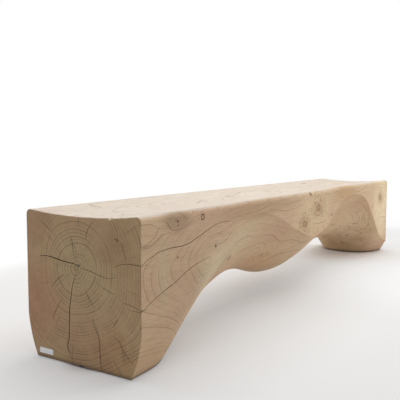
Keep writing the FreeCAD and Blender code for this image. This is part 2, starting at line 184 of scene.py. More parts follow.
WHORL = 0.48
WHORLED = {"lobe_low", "lobe_high", "far_side", "back_one", "back_two", "back_three"}
knot_bend = add(
    wood, "VectorMath", {"operation": "MULTIPLY_ADD", 1: (0.026, 0.026, 0.020), 2: (-0.013, -0.013, -0.010)},
    {0: quick.outputs["Color"]},
)
knot_place = add(wood, "VectorMath", {"operation": "ADD"}, {0: place, 1: knot_bend.outputs[0]}).outputs[0]
ragged_bend = add(wood, "VectorMath", {"operation": "SCALE", "Scale": 0.35}, {0: knot_bend.outputs[0]})
ragged_place = add(wood, "VectorMath", {"operation": "ADD"}, {0: place, 1: ragged_bend.outputs[0]}).outputs[0]
swollen = add(wood, "Math", {"operation": "ADD"}, {0: distance, 1: flare.outputs[0]}).outputs[0]
nearest = cores = None
for name, (centre, reach, lift, core, darkness) in KNOTS.items():
    span = span_from(centre, reach, knot_place)
    if lift:
        swell = add(
            wood, "MapRange", {"interpolation_type": "SMOOTHERSTEP", 1: 0.0, 2: 1.0, 3: lift, 4: 0.0},
            {0: span},
        )
        swollen = add(wood, "Math", {"operation": "ADD"}, {0: swollen, 1: swell.outputs[0]}).outputs[0]
    if not darkness:
        continue
    whorl = WHORL if name in WHORLED else core
    in_whorls = add(wood, "Math", {"operation": "MULTIPLY", 1: 1 / whorl}, {0: span}).outputs[0]
    dark = add(
        wood, "MapRange",
        {"interpolation_type": "SMOOTHSTEP", 1: core * 0.75, 2: core * 1.15, 3: darkness, 4: 0.0},
        {0: span},
    ).outputs[0]
    if cores is None:
        nearest, cores = in_whorls, dark
    else:
        nearest = add(wood, "Math", {"operation": "MINIMUM"}, {0: nearest, 1: in_whorls}).outputs[0]
        cores = add(wood, "Math", {"operation": "MAXIMUM"}, {0: cores, 1: dark}).outputs[0]
print(len(KNOTS), "knots")

# %% Draw the whorls, uneven and broken by a finer noise
curl = add(wood, "TexNoise", {"Scale": 38.0, "Detail": 2.0, "Roughness": 0.5}, {"Vector": place})
branch_slip = add(wood, "Math", {"operation": "MULTIPLY", 1: 2.4}, {0: curl.outputs["Fac"]})
branch_age = add(wood, "Math", {"operation": "MULTIPLY_ADD", 1: 2.1}, {0: nearest, 2: branch_slip.outputs[0]})
branch_year = add(wood, "Math", {"operation": "FRACT"}, {0: branch_age.outputs[0]})
branch_line = add(
    wood, "ValToRGB", {}, {0: branch_year.outputs[0]},
    stops=[(0.0, 0.5), (0.2, 0.0), (0.45, 0.1), (0.7, 1.0), (0.9, 1.0)],
)
branch_fade = add(wood, "MapRange", {1: 0.6, 2: 1.9, 3: 1.0, 4: 0.0}, {0: nearest})
branch_parts = add(wood, "MapRange", {1: 0.38, 2: 0.60, 3: 1.0, 4: 0.25}, {0: curl.outputs["Fac"]})
branch_kept = add(
    wood, "Math", {"operation": "MULTIPLY"}, {0: branch_fade.outputs[0], 1: branch_parts.outputs[0]},
)
branch_ring = add(
    wood, "Math", {"operation": "MULTIPLY"}, {0: branch_line.outputs["Color"], 1: branch_kept.outputs[0]},
).outputs[0]
halo = add(
    wood, "MapRange", {"interpolation_type": "SMOOTHSTEP", 1: 0.4, 2: 1.5, 3: 0.30, 4: 0.0}, {0: nearest},
).outputs[0]
print("a whorl is", WHORL, "of a large knot's reach")

# %% [markdown]
# ## Growth rings
# Wood like this lays down a wide pale band in spring and a thin dark line in late summer. Dividing the
# distance from the heart by the ring width and keeping the fraction gives a sawtooth, one tooth a year. Two
# ramps shape each tooth: a soft one darkens slowly and ends suddenly, and a thin one keeps only the last,
# darkest wood, which stays a fine line even where the face runs almost along the ring. Years differ, so noise
# along the radius changes the widths and a random number per year changes how dark its line is. Two weaker
# lines between each pair stand for the narrow years, which the eye reads as fine stripes.

# %% Draw one dark line a year
RING_WIDTH = 0.0098
NARROW_YEARS = 3.0

widths = add(wood, "TexNoise", {"noise_dimensions": "1D", "Scale": 26.0, "Detail": 1.0}, {"W": swollen})
uneven = add(wood, "Math", {"operation": "MULTIPLY_ADD", 1: 0.020}, {0: widths.outputs["Fac"], 2: swollen})
years = add(wood, "Math", {"operation": "DIVIDE", 1: RING_WIDTH}, {0: uneven.outputs[0]})
part_of_year = add(wood, "Math", {"operation": "FRACT"}, {0: years.outputs[0]})
soft_ring = add(
    wood, "ValToRGB", {}, {0: part_of_year.outputs[0]},
    stops=[(0.0, 0.35), (0.06, 0.0), (0.50, 0.04), (0.78, 0.40), (0.92, 1.0), (1.0, 0.35)],
)
thin_ring = add(
    wood, "ValToRGB", {}, {0: part_of_year.outputs[0]},
    stops=[(0.0, 0.0), (0.60, 0.02), (0.86, 0.16), (0.915, 1.0), (0.95, 1.0), (0.99, 0.0)],
)
year = add(wood, "Math", {"operation": "FLOOR"}, {0: years.outputs[0]})
luck = add(wood, "TexWhiteNoise", {"noise_dimensions": "1D"}, {"W": year.outputs[0]})
dry_year = add(wood, "MapRange", {1: 0.0, 2: 1.0, 3: 0.12, 4: 1.0}, {0: luck.outputs["Value"]})
fading = add(wood, "TexNoise", {"Scale": 7.5, "Detail": 3.0}, {"Vector": slow_place.outputs[0]})
faded = add(wood, "MapRange", {1: 0.36, 2: 0.62, 3: 0.30, 4: 1.0}, {0: fading.outputs["Fac"]})
strength = add(wood, "Math", {"operation": "MULTIPLY"}, {0: dry_year.outputs[0], 1: faded.outputs[0]})
ring, line = (
    add(wood, "Math", {"operation": "MULTIPLY"}, {0: ramp.outputs["Color"], 1: strength.outputs[0]}).outputs[0]
    for ramp in (soft_ring, thin_ring)
)
weak_years = add(wood, "Math", {"operation": "MULTIPLY", 1: NARROW_YEARS}, {0: years.outputs[0]})
weak_part = add(wood, "Math", {"operation": "FRACT"}, {0: weak_years.outputs[0]})
weak_ring = add(
    wood, "ValToRGB", {}, {0: weak_part.outputs[0]},
    stops=[(0.0, 0.2), (0.15, 0.0), (0.55, 0.10), (0.85, 1.0), (1.0, 0.2)],
)
weak_ring = add(
    wood, "Math", {"operation": "MULTIPLY"}, {0: weak_ring.outputs["Color"], 1: faded.outputs[0]},
).outputs[0]
print("a strong ring every", RING_WIDTH * 1000, "mm, with two weak ones between")

# %% [markdown]
# ## Fibres
# Between the rings the wood is made of fibres a fraction of a millimetre thick and many centimetres long.
# Noise stretched forty times along the trunk shows as fine streaks on the sides and as specks on the ends,
# as real fibres do. They are drawn coarser than real, about 2.6 mm apart, because finer ones would not show.
# Wider strands of the same kind stand for bundles of fibres that took in the light a little differently.

# %% Streak the fibres along the trunk
FIBRES = 380.0
STRANDS = 60.0

fibre_place = add(wood, "VectorMath", {"operation": "MULTIPLY", 1: (9.0, FIBRES, FIBRES)}, {0: grown_place})
fibre = add(
    wood, "TexNoise", {"Scale": 1.0, "Detail": 3.0, "Roughness": 0.6}, {"Vector": fibre_place.outputs[0]},
)
strand_place = add(wood, "VectorMath", {"operation": "MULTIPLY", 1: (2.2, STRANDS, STRANDS)}, {0: grown_place})
strand = add(
    wood, "TexNoise", {"Scale": 1.0, "Detail": 2.0, "Roughness": 0.5}, {"Vector": strand_place.outputs[0]},
)
print("fibres about", round(1000 / FIBRES, 1), "mm apart")

# %% [markdown]
# ## End grain
# On the sawn ends the fibres are cut across. They drink in light, so the ends look darker and browner, and
# they dry first, so hairline checks run out from the heart. The surface's own direction tells where the
# fibres are cut: the more a face looks along the bench, the more end grain it shows.

# %% Find the end grain
facing = add(wood, "SeparateXYZ", links={0: add(wood, "TexCoord").outputs["Normal"]})
turned = add(wood, "Math", {"operation": "ABSOLUTE"}, {0: facing.outputs["X"]})
end_grain = add(
    wood, "MapRange", {"interpolation_type": "SMOOTHSTEP", 1: 0.45, 2: 0.97, 3: 0.0, 4: 1.0},
    {0: turned.outputs[0]},
).outputs[0]

# %% Run hairline checks out from the heart
RAYS = 19

axes = add(wood, "SeparateXYZ", links={0: across.outputs[0]})
angle = add(wood, "Math", {"operation": "ARCTAN2"}, {0: axes.outputs["Z"], 1: axes.outputs["Y"]})
ray_wander = add(wood, "TexNoise", {"Scale": 9.0, "Detail": 3.0}, {"Vector": across.outputs[0]})
ray_turned = add(
    wood, "Math", {"operation": "MULTIPLY_ADD", 1: 0.35}, {0: ray_wander.outputs["Fac"], 2: angle.outputs[0]},
)
ray_place = add(
    wood, "Math", {"operation": "MULTIPLY_ADD", 1: RAYS / math.tau, 2: RAYS}, {0: ray_turned.outputs[0]},
)
ray_number = add(wood, "Math", {"operation": "FLOOR"}, {0: ray_place.outputs[0]})
ray_luck = add(wood, "TexWhiteNoise", {"noise_dimensions": "1D"}, {"W": ray_number.outputs[0]})
ray_share = add(wood, "Math", {"operation": "FRACT"}, {0: ray_place.outputs[0]})
ray_shift = add(wood, "MapRange", {1: 0.0, 2: 1.0, 3: 0.2, 4: 0.8}, {0: ray_luck.outputs["Value"]})
ray_off = add(wood, "Math", {"operation": "SUBTRACT"}, {0: ray_share.outputs[0], 1: ray_shift.outputs[0]})
ray_wide = add(wood, "Math", {"operation": "MULTIPLY", 1: math.tau / RAYS}, {0: distance})
ray_gap = add(wood, "Math", {"operation": "MULTIPLY"}, {0: ray_off.outputs[0], 1: ray_wide.outputs[0]})
ray_far = add(wood, "Math", {"operation": "ABSOLUTE"}, {0: ray_gap.outputs[0]})
hair = add(
    wood, "MapRange", {"interpolation_type": "SMOOTHSTEP", 1: 0.0002, 2: 0.0009, 3: 1.0, 4: 0.0},
    {0: ray_far.outputs[0]},
)
stretch_w = add(wood, "Math", {"operation": "MULTIPLY_ADD", 1: 7.7}, {0: ray_number.outputs[0], 2: distance})
broken = add(
    wood, "TexNoise", {"noise_dimensions": "1D", "Scale": 13.0, "Detail": 1.0}, {"W": stretch_w.outputs[0]},
)
where = add(wood, "MapRange", {1: 0.50, 2: 0.62, 3: 0.0, 4: 1.0}, {0: broken.outputs["Fac"]})
hairline = add(wood, "Math", {"operation": "MULTIPLY"}, {0: hair.outputs[0], 1: where.outputs[0]})
hairline = add(wood, "Math", {"operation": "MULTIPLY"}, {0: hairline.outputs[0], 1: end_grain}).outputs[0]
print(RAYS, "rays")

# %% Streak the end along its rays
fleck_turn = add(wood, "Math", {"operation": "MULTIPLY", 1: 34.0}, {0: ray_turned.outputs[0]})
fleck_out = add(wood, "Math", {"operation": "MULTIPLY", 1: 9.0}, {0: distance})
fleck_place = add(wood, "CombineXYZ", links={0: fleck_turn.outputs[0], 1: fleck_out.outputs[0]})
fleck = add(
    wood, "TexNoise", {"Scale": 1.0, "Detail": 3.0, "Roughness": 0.7}, {"Vector": fleck_place.outputs[0]},
)
fleck_reach = add(wood, "Math", {"operation": "MULTIPLY", 1: 0.36}, {0: end_grain})
fleck_shade = add(wood, "Math", {"operation": "SUBTRACT", 1: 0.5}, {0: fleck.outputs["Fac"]})
fleck_shade = add(
    wood, "Math", {"operation": "MULTIPLY_ADD", 2: 1.0}, {0: fleck_shade.outputs[0], 1: fleck_reach.outputs[0]},
)
print("rays streaked")

# %% [markdown]
# ## Fine checks
# The wide drying checks are cut into the solid. The finest ones are only drawn: each is a row of points on a
# face, and a point of wood is dark where it lies within about a millimetre of the row. That is wider than a
# real hair check. On the seat they are drawn about four times wider again, or they would not show at the low
# angle of this picture; from above that looks too bold. The flank inside the far foot has a whole net of
# checks, with small dark specks, where the wood dried fastest.

# %% Draw the fine checks point by point
ON_END, ON_SIDE, ON_SEAT = (0.1, 1.0, 1.0), (1.0, 0.1, 1.0), (0.25, 1.0, 0.02)
CHECK_HALF_WIDTH, CHECK_FADED, CHECK_DARKNESS = 0.0003, 0.0014, 0.66
FINE_CHECKS = [
    # how each axis is pressed, most of all the one that the check runs in along, then its points on the face
    (ON_END, [(-1.200, 0.032, 0.056), (-1.200, 0.034, 0.030), (-1.200, 0.033, 0.007)]),
    (ON_END, [(-1.200, 0.052, 0.078), (-1.200, 0.053, 0.043)]),
    (ON_END, [(-1.200, -0.041, 0.144), (-1.200, -0.060, 0.106), (-1.200, -0.067, 0.088)]),
    (ON_END, [(-1.200, -0.067, 0.088), (-1.200, -0.066, 0.072), (-1.200, -0.073, 0.007)]),
    (ON_END, [(-1.200, 0.003, 0.416), (-1.200, 0.005, 0.394)]),
    (ON_END, [(-1.200, 0.021, 0.346), (-1.200, 0.011, 0.308)]),
    (ON_END, [(-1.200, -0.115, 0.110), (-1.200, -0.142, 0.096), (-1.200, -0.155, 0.048)]),
    (ON_SIDE, [(-1.190, -0.210, 0.354), (-1.170, -0.210, 0.359), (-1.141, -0.210, 0.372),
               (-1.122, -0.210, 0.394)]),
    (ON_SIDE, [(-1.082, -0.210, 0.401), (-1.065, -0.210, 0.384), (-1.042, -0.210, 0.380)]),
    (ON_SIDE, [(-1.042, -0.210, 0.380), (-1.001, -0.210, 0.384), (-0.973, -0.210, 0.394),
               (-0.959, -0.210, 0.403)]),
    (ON_SIDE, [(-1.036, -0.210, 0.432), (-1.017, -0.210, 0.422), (-0.992, -0.210, 0.406)]),
    (ON_SIDE, [(-1.048, -0.210, 0.407), (-1.030, -0.210, 0.406)]),
    (ON_SIDE, [(-1.090, -0.210, 0.408), (-1.083, -0.210, 0.399), (-1.069, -0.210, 0.386)]),
    (ON_SIDE, [(-0.017, -0.210, 0.290), (0.070, -0.210, 0.287), (0.148, -0.210, 0.289)]),
    (ON_SIDE, [(1.055, -0.210, 0.215), (1.120, -0.210, 0.217), (1.182, -0.210, 0.208)]),
    (ON_SEAT, [(-0.975, 0.175, 0.428), (-0.986, 0.154, 0.426), (-0.991, 0.134, 0.424), (-0.992, 0.109, 0.422)]),
    (ON_SEAT, [(-1.113, -0.072, 0.420), (-1.074, -0.049, 0.419)]),
    (ON_SEAT, [(-0.356, -0.001, 0.419), (-0.235, 0.047, 0.419), (-0.105, 0.097, 0.421)]),
    (ON_SEAT, [(-0.684, -0.047, 0.419), (-0.615, -0.014, 0.419), (-0.546, 0.020, 0.419)]),
]

check_way = None
for press, points in FINE_CHECKS:
    pressed = add(wood, "VectorMath", {"operation": "MULTIPLY", 1: press}, {0: ragged_place}).outputs[0]
    flat = [Vector(point) * Vector(press) for point in points]
    for start, end in zip(flat, flat[1:]):
        run = end - start
        off = add(wood, "VectorMath", {"operation": "SUBTRACT", 1: start}, {0: pressed})
        share = add(
            wood, "VectorMath", {"operation": "DOT_PRODUCT", 1: run / run.length_squared}, {0: off.outputs[0]},
        )
        held = add(wood, "Clamp", {}, {0: share.outputs["Value"]})
        foot = add(wood, "VectorMath", {"operation": "SCALE", 0: run}, {"Scale": held.outputs[0]})
        way = add(
            wood, "VectorMath", {"operation": "DISTANCE"}, {0: off.outputs[0], 1: foot.outputs[0]},
        ).outputs["Value"]
        check_way = way if check_way is None else add(
            wood, "Math", {"operation": "MINIMUM"}, {0: check_way, 1: way},
        ).outputs[0]
fine_check = add(
    wood, "MapRange",
    {"interpolation_type": "SMOOTHSTEP", 1: CHECK_HALF_WIDTH, 2: CHECK_FADED, 3: CHECK_DARKNESS, 4: 0.0},
    {0: check_way},
).outputs[0]
print(len(FINE_CHECKS), "fine checks")

# %% Net the far flank with checks and specks
DRY_FLANK = (0.90, 0.03, 0.17)
DRY_REACH = (0.34, 0.28, 0.30)

dry = add(
    wood, "MapRange", {"interpolation_type": "SMOOTHSTEP", 1: 0.45, 2: 1.0, 3: 1.0, 4: 0.0},
    {0: span_from(DRY_FLANK, DRY_REACH, grown_place)},
).outputs[0]
net_place = add(wood, "VectorMath", {"operation": "MULTIPLY", 1: (8.0, 8.0, 15.0)}, {0: grown_place})
net_bend = add(wood, "VectorMath", {"operation": "SCALE", "Scale": 0.55}, {0: curl.outputs["Color"]})
net_bent = add(wood, "VectorMath", {"operation": "ADD"}, {0: net_place.outputs[0], 1: net_bend.outputs[0]})
net = add(wood, "TexVoronoi", {"feature": "DISTANCE_TO_EDGE", "Scale": 1.0}, {"Vector": net_bent.outputs[0]})
net_line = add(
    wood, "MapRange", {"interpolation_type": "SMOOTHSTEP", 1: 0.004, 2: 0.024, 3: 0.66, 4: 0.0},
    {0: net.outputs["Distance"]},
)
net_parts = add(wood, "MapRange", {1: 0.38, 2: 0.56, 3: 0.20, 4: 1.0}, {0: fading.outputs["Fac"]})
net_line = add(wood, "Math", {"operation": "MULTIPLY"}, {0: net_line.outputs[0], 1: net_parts.outputs[0]})
speck_place = add(wood, "VectorMath", {"operation": "MULTIPLY", 1: (22.0, 22.0, 30.0)}, {0: grown_place})
speck = add(wood, "TexVoronoi", {"feature": "F1", "Scale": 1.0}, {"Vector": speck_place.outputs[0]})
speck_dot = add(
    wood, "MapRange", {"interpolation_type": "SMOOTHSTEP", 1: 0.12, 2: 0.26, 3: 0.55, 4: 0.0},
    {0: speck.outputs["Distance"]},
)
speck_kept = add(wood, "SeparateColor", links={0: speck.outputs["Color"]})
speck_kept = add(wood, "Math", {"operation": "GREATER_THAN", 1: 0.55}, {0: speck_kept.outputs[0]})
speck_dot = add(wood, "Math", {"operation": "MULTIPLY"}, {0: speck_dot.outputs[0], 1: speck_kept.outputs[0]})
netted = add(wood, "Math", {"operation": "MAXIMUM"}, {0: net_line.outputs[0], 1: speck_dot.outputs[0]})
netted = add(wood, "Math", {"operation": "MULTIPLY"}, {0: netted.outputs[0], 1: dry}).outputs[0]
print("dry flank at", DRY_FLANK)

# %% [markdown]
# ## Colour patches
# Heartwood is never one colour. Low noise drifts the whole block between a yellow and a rosy tan. Faces
# that look up are mixed towards a pale grey: a painted sheen, for the white that the seat reflects at a low
# angle. Soft clouds, set against the photo, then stand where this bench has them: a pale band beside the
# first arch, which is a painted highlight where the surface turns to the light, a warm patch on the belly,
# made lighter in part as painted bounce light, lighter patches on the shaded flank of the far foot, which are
# painted bounce light, a greener heart with rosy and brown patches round it on the end, and a smudge round
# the small knots near the seat edge.

# %% Drift the colour and lay the clouds
drift = add(
    wood, "TexNoise", {"Scale": 2.3, "Detail": 3.0, "Roughness": 0.55}, {"Vector": slow_place.outputs[0]},
)
rosy = add(wood, "MapRange", {1: 0.38, 2: 0.62, 3: 0.0, 4: 1.0}, {0: drift.outputs["Fac"]})
colour = add(
    wood, "Mix", {"data_type": "RGBA", 6: light("#cdb08a"), 7: light("#c8a483")}, {0: rosy.outputs[0]},
).outputs[2]

# painted sheen: faces that look up are mixed towards a pale grey, for the white the seat reflects at a low
# angle
painted_seat_sheen = add(
    wood, "MapRange", {"interpolation_type": "SMOOTHSTEP", 1: 0.45, 2: 0.98, 3: 0.0, 4: 0.85},
    {0: facing.outputs["Z"]},
)
colour = add(
    wood, "Mix", {"data_type": "RGBA", 7: light("#cac1b5")}, {0: painted_seat_sheen.outputs[0], 6: colour},
).outputs[2]

CLOUDS = [
    # centre, reach, colour, strength
    # warm patch on the belly, made lighter in part as painted bounce light
    ((-0.30, -0.10, 0.15), (0.26, 0.12, 0.09), "#d0a67c", 0.50),
    ((-0.02, -0.21, 0.33), (0.30, 0.06, 0.14), "#d9c295", 0.65),
    ((0.42, -0.20, 0.40), (0.30, 0.08, 0.08), "#b89460", 0.75),
    ((1.08, -0.21, 0.28), (0.24, 0.10, 0.28), "#e6d2ab", 0.85),
    ((-1.04, -0.21, 0.410), (0.100, 0.05, 0.048), "#8f7450", 0.65),
    ((-0.98, -0.21, 0.24), (0.40, 0.06, 0.26), "#b8977a", 0.50),
    # painted highlight, this cloud and the next: the pale band along the first arch's ridge, where the surface
    # turns to the light
    ((-0.80, -0.20, 0.20), (0.17, 0.09, 0.17), "#d8c6a1", 0.80),
    ((-0.62, -0.19, 0.28), (0.24, 0.08, 0.11), "#d2c19b", 0.60),
    # painted bounce light: the shaded flank inside the far foot made lighter
    ((0.90, 0.00, 0.25), (0.34, 0.30, 0.22), "#e8cfab", 0.80),
    ((-0.50, -0.21, 0.40), (0.42, 0.05, 0.06), "#ab8a63", 0.65),
    ((-1.20, -0.02, 0.26), (0.30, 0.20, 0.20), "#c6b58c", 0.40),
    ((-1.20, 0.16, 0.16), (0.30, 0.12, 0.18), "#c28463", 0.45),
    ((-1.105, -0.21, 0.27), (0.040, 0.05, 0.16), "#bfb38c", 0.42),
    ((-0.90, -0.21, 0.21), (0.065, 0.05, 0.11), "#c0b38c", 0.42),
    ((-1.20, 0.16, 0.38), (0.30, 0.10, 0.07), "#b98a66", 0.40),
    ((-1.20, -0.13, 0.34), (0.30, 0.09, 0.10), "#a88058", 0.40),
    ((-1.20, -0.12, 0.06), (0.30, 0.12, 0.10), "#bb8a62", 0.40),
    # painted bounce light: the low shaded flank of the far foot made lighter
    ((0.96, -0.10, 0.07), (0.26, 0.24, 0.14), "#dcbf9f", 0.75),
    ((-1.195, -0.109, 0.424), (0.040, 0.022, 0.016), "#ecdfca", 0.95),
]
for centre, reach, shade, strength in CLOUDS:
    soft = add(
        wood, "MapRange", {"interpolation_type": "SMOOTHERSTEP", 1: 0.2, 2: 1.0, 3: strength, 4: 0.0},
        {0: span_from(centre, reach, knot_place)},
    )
    colour = add(
        wood, "Mix", {"data_type": "RGBA", 7: light(shade)}, {0: soft.outputs[0], 6: colour},
    ).outputs[2]
print(len(CLOUDS), "clouds")

# %% [markdown]
# ## Putting the wood together
# Each layer multiplies or mixes into the one before: strands, rings, fibres, the darker end grain with its
# flecks, knots with their whorls, hairlines, the net and the fine checks. Then come two painted shades. The
# insides of the cut checks are darkened as painted shade, found by how little of the sky a point sees, except
# in the fresh chip at the seat's edge. And the wood in the lowest 16 mm above the floor is darkened as painted
# contact shade round the feet. Untreated, fine-sanded wood has only a dull sheen, so the roughness stays high,
# and the harder late wood shines more.

# %% Lay strands, rings, fibres and end grain
strand_shade = add(wood, "MapRange", {1: 0.3, 2: 0.7, 3: 0.965, 4: 1.03}, {0: strand.outputs["Fac"]})
colour = add(
    wood, "VectorMath", {"operation": "SCALE"}, {0: colour, "Scale": strand_shade.outputs[0]},
).outputs[0]
for pattern, side_share, end_share, shade in (
    (weak_ring, 0.20, 0.44, "#8a6038"), (ring, 0.30, 0.95, "#8a6038"), (line, 0.58, 0.90, "#67452a"),
):
    share = add(wood, "MapRange", {1: 0.0, 2: 1.0, 3: side_share, 4: end_share}, {0: end_grain})
    amount = add(wood, "Math", {"operation": "MULTIPLY"}, {0: pattern, 1: share.outputs[0]})
    colour = add(
        wood, "Mix", {"data_type": "RGBA", 7: light(shade)}, {0: amount.outputs[0], 6: colour},
    ).outputs[2]
fibre_shade = add(wood, "MapRange", {1: 0.25, 2: 0.75, 3: 0.84, 4: 1.12}, {0: fibre.outputs["Fac"]})
colour = add(
    wood, "VectorMath", {"operation": "SCALE"}, {0: colour, "Scale": fibre_shade.outputs[0]},
).outputs[0]
end_tint = add(
    wood, "Mix", {"data_type": "RGBA", "blend_type": "MULTIPLY", 7: light("#ebe9dc")},
    {0: end_grain, 6: colour},
).outputs[2]
colour = add(
    wood, "VectorMath", {"operation": "SCALE"}, {0: end_tint, "Scale": fleck_shade.outputs[0]},
).outputs[0]
print("strands, rings and fibres laid")

# %% Lay the knots and their whorls
dead = add(wood, "MapRange", {1: 0.62, 2: 0.95, 3: 0.0, 4: 1.0}, {0: cores})
core_colour = add(
    wood, "Mix", {"data_type": "RGBA", 6: light("#8f6640"), 7: light("#24180f")}, {0: dead.outputs[0]},
).outputs[2]
colour = add(wood, "Mix", {"data_type": "RGBA", 7: light("#b08857")}, {0: halo, 6: colour}).outputs[2]
colour = add(wood, "Mix", {"data_type": "RGBA"}, {0: cores, 6: colour, 7: core_colour}).outputs[2]
living = add(wood, "MapRange", {1: 0.0, 2: 1.0, 3: 0.72, 4: 0.0}, {0: dead.outputs[0]})
knot_lines = add(wood, "Math", {"operation": "MULTIPLY"}, {0: branch_ring, 1: living.outputs[0]})
colour = add(
    wood, "Mix", {"data_type": "RGBA", 7: light("#75482a")}, {0: knot_lines.outputs[0], 6: colour},
).outputs[2]
print("knots laid")

# %% Lay hairlines, net and fine checks
hairy = add(wood, "Math", {"operation": "MULTIPLY", 1: 0.55}, {0: hairline})
colour = add(
    wood, "Mix", {"data_type": "RGBA", 7: light("#4a3220")}, {0: hairy.outputs[0], 6: colour},
).outputs[2]
colour = add(wood, "Mix", {"data_type": "RGBA", 7: light("#8a6240")}, {0: netted, 6: colour}).outputs[2]
colour = add(wood, "Mix", {"data_type": "RGBA", 7: light("#452e1c")}, {0: fine_check, 6: colour}).outputs[2]
print("fine checks laid")

# %% Paint shade into the cut checks and round the rims of the feet
CHIP = (-1.197, -0.107, 0.421)
SHADE_REACH = 0.009
CONTACT_SHADE_FROM, CONTACT_SHADE_TO = 0.004, 0.016

# painted shade inside the cut checks: darker where a point sees little of the sky
hidden = add(wood, "AmbientOcclusion", {"samples": 8, "only_local": True, "Distance": SHADE_REACH})
painted_check_shade = add(
    wood, "MapRange", {"interpolation_type": "SMOOTHSTEP", 1: 0.50, 2: 0.93, 3: 0.98, 4: 0.0},
    {0: hidden.outputs["AO"]},
)
chip_way = add(wood, "VectorMath", {"operation": "DISTANCE", 1: CHIP}, {0: place})
no_chip = add(wood, "MapRange", {1: 0.012, 2: 0.022, 3: 0.15, 4: 1.0}, {0: chip_way.outputs["Value"]})
painted_check_shade = add(wood, "Math", {"operation": "MULTIPLY"}, {0: painted_check_shade.outputs[0], 1: no_chip.outputs[0]})
past_end = add(wood, "MapRange", {1: -1.195, 2: -1.15, 3: 0.0, 4: 1.0}, {0: along.outputs["X"]})
check_shade_colour = add(
    wood, "Mix", {"data_type": "RGBA", 6: light("#120a05"), 7: light("#a17c59")}, {0: past_end.outputs[0]},
).outputs[2]
colour = add(wood, "Mix", {"data_type": "RGBA"}, {0: painted_check_shade.outputs[0], 6: colour, 7: check_shade_colour}).outputs[2]
# painted contact shade: the wood darkens towards the floor within the lowest 16 mm
rim = add(wood, "MapRange", {1: CONTACT_SHADE_FROM, 2: CONTACT_SHADE_TO, 3: 0.68, 4: 0.0}, {0: along.outputs["Z"]})
colour = add(wood, "Mix", {"data_type": "RGBA", 7: light("#4a3422")}, {0: rim.outputs[0], 6: colour}).outputs[2]
wood.links.new(colour, block_shader.inputs["Base Color"])
print("checks and rims darkened")

# %% Give the wood its sheen and relief
sheen_range = add(wood, "MapRange", {1: 0.0, 2: 1.0, 3: 0.60, 4: 0.50}, {0: ring})
wood.links.new(sheen_range.outputs[0], block_shader.inputs["Roughness"])
block_shader.inputs["IOR"].default_value = 1.50
relief_rings = add(wood, "Math", {"operation": "MULTIPLY_ADD", 1: 0.5}, {0: ring, 2: fibre.outputs["Fac"]})
relief_cut = add(
    wood, "Math", {"operation": "MULTIPLY_ADD", 1: -2.0}, {0: hairline, 2: relief_rings.outputs[0]},
)
relief = add(wood, "Bump", {"Strength": 0.35, "Distance": 0.0006}, {"Height": relief_cut.outputs[0]})
wood.links.new(relief.outputs["Normal"], block_shader.inputs["Normal"])
print("roughness 0.50 to 0.60")


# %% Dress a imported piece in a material
def dress(name, material):
    """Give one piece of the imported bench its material, in place of the plain one it came with."""
    piece = bench[name]
    piece.data.materials.clear()
    piece.data.materials.append(material)
    return piece


dress("bench_block", block)
print("bench_block wears", block.name)

# %% [markdown]
# ## The loose knot
# Near the seat edge sits a dead branch stub in a ring of its own bark. The bark is nearly black and swallows
# light, and the core is end grain of much slower growth, browner than the block and with rings a millimetre
# apart. The core's rings are turned round the stub's own middle, which is found from the piece's box.

# %% Bark and branch wood
BRANCH_RING_WIDTH = 0.0011

low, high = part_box("knot_core")
stub = ((low.x + high.x) / 2, 0.0, (low.z + high.z) / 2)

bark, bark_tree, bark_shader = new_material("bark_raw")
bark_spot = add(bark_tree, "TexCoord").outputs["Object"]
bark_grit = add(bark_tree, "TexNoise", {"Scale": 900.0, "Detail": 4.0, "Roughness": 0.7}, {"Vector": bark_spot})
bark_mix = add(
    bark_tree, "Mix", {"data_type": "RGBA", 6: light("#120b07"), 7: light("#2c1d12")},
    {0: bark_grit.outputs["Fac"]},
)
bark_tree.links.new(bark_mix.outputs[2], bark_shader.inputs["Base Color"])
bark_shader.inputs["Roughness"].default_value = 0.9
bark_bump = add(bark_tree, "Bump", {"Strength": 0.8, "Distance": 0.0008}, {"Height": bark_grit.outputs["Fac"]})
bark_tree.links.new(bark_bump.outputs["Normal"], bark_shader.inputs["Normal"])
dress("knot_bark", bark)

branch, branch_tree, branch_shader = new_material("branch_end_grain_sanded")
branch_spot = add(branch_tree, "TexCoord").outputs["Object"]
branch_off = add(branch_tree, "VectorMath", {"operation": "SUBTRACT", 1: stub}, {0: branch_spot})
branch_flat = add(
    branch_tree, "VectorMath", {"operation": "MULTIPLY", 1: (1.0, 0.0, 1.0)}, {0: branch_off.outputs[0]},
)
branch_out = add(branch_tree, "VectorMath", {"operation": "LENGTH"}, {0: branch_flat.outputs[0]})
branch_years = add(
    branch_tree, "Math", {"operation": "DIVIDE", 1: BRANCH_RING_WIDTH}, {0: branch_out.outputs["Value"]},
)
branch_part = add(branch_tree, "Math", {"operation": "FRACT"}, {0: branch_years.outputs[0]})
branch_mix = add(
    branch_tree, "Mix", {"data_type": "RGBA", 6: light("#c6a581"), 7: light("#a07c57")},
    {0: branch_part.outputs[0]},
)
branch_tree.links.new(branch_mix.outputs[2], branch_shader.inputs["Base Color"])
branch_shader.inputs["Roughness"].default_value = 0.6
dress("knot_core", branch)
print("loose knot at", [round(v, 3) for v in stub])

# %% [markdown]
# ## Plate, pins and glides
# The blank plate is thin aluminium, brushed along its length, so its highlight spreads across the brushing.
# Its pins and the glides' nails are bright steel. The glides are black moulded nylon, dull with a fine grain.

